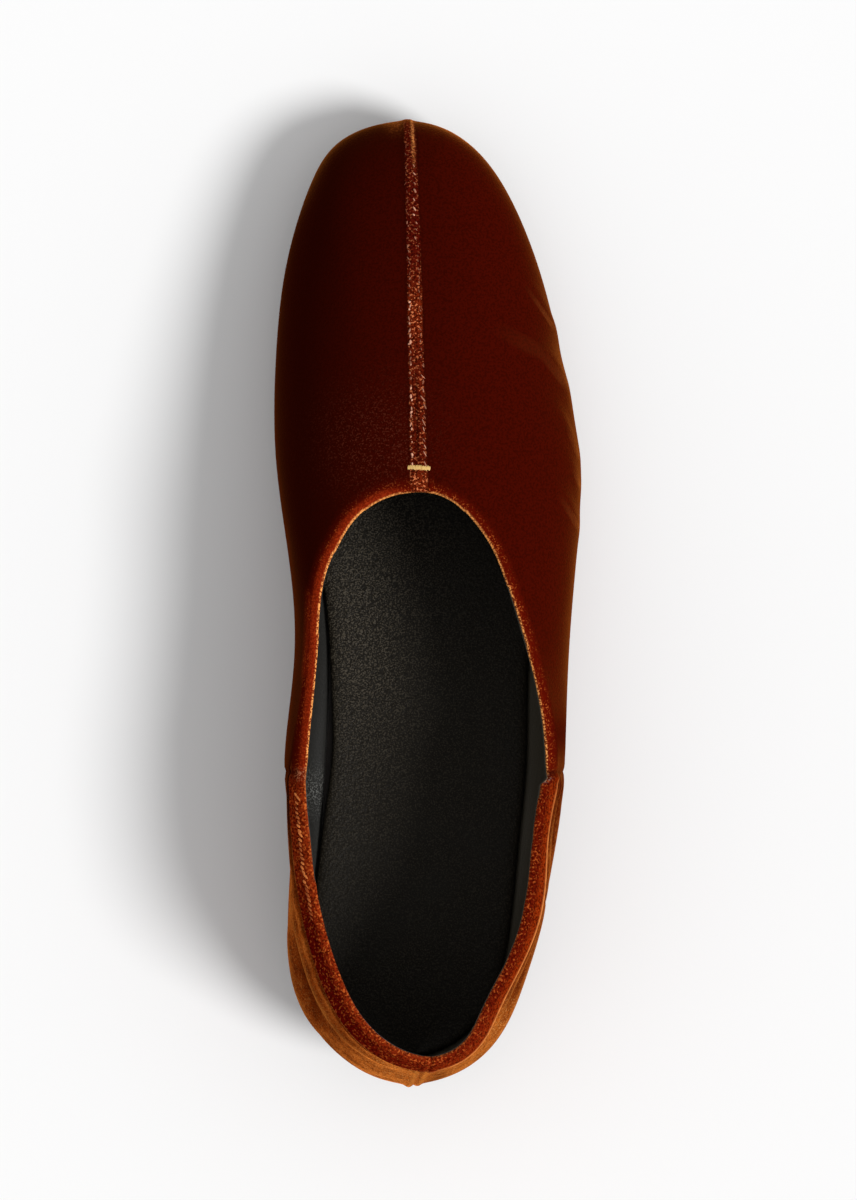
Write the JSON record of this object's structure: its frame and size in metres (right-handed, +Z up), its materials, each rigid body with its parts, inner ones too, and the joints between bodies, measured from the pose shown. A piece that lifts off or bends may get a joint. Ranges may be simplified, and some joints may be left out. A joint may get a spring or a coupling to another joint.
{
  "type": "velvet slipper flat",
  "caption": "Low slip-on flat shoe with a hollow velvet upper, raised centre seam, folded collar band, dark leather footbed and thin sole with a low heel.",
  "frame": {"origin": "middle of the shoe's length and width, on the floor under the sole", "axes": "+Y from heel to toe, +X to the outer (lateral) side of the right foot, +Z up"},
  "size_m": [0.0798, 0.2508, 0.0623],
  "materials": {
    "sole_leather": "plain dark sole leather, satin",
    "insole_leather": "black pebbled leather, satin",
    "rust_velvet": "rust velvet, short nap",
    "gold_thread": "pale gold thread"
  },
  "bodies": {
    "root": {"outsole": "sole_leather", "insole": "insole_leather", "upper": "rust_velvet", "bar_tack": "gold_thread"}
  },
  "joints": []
}
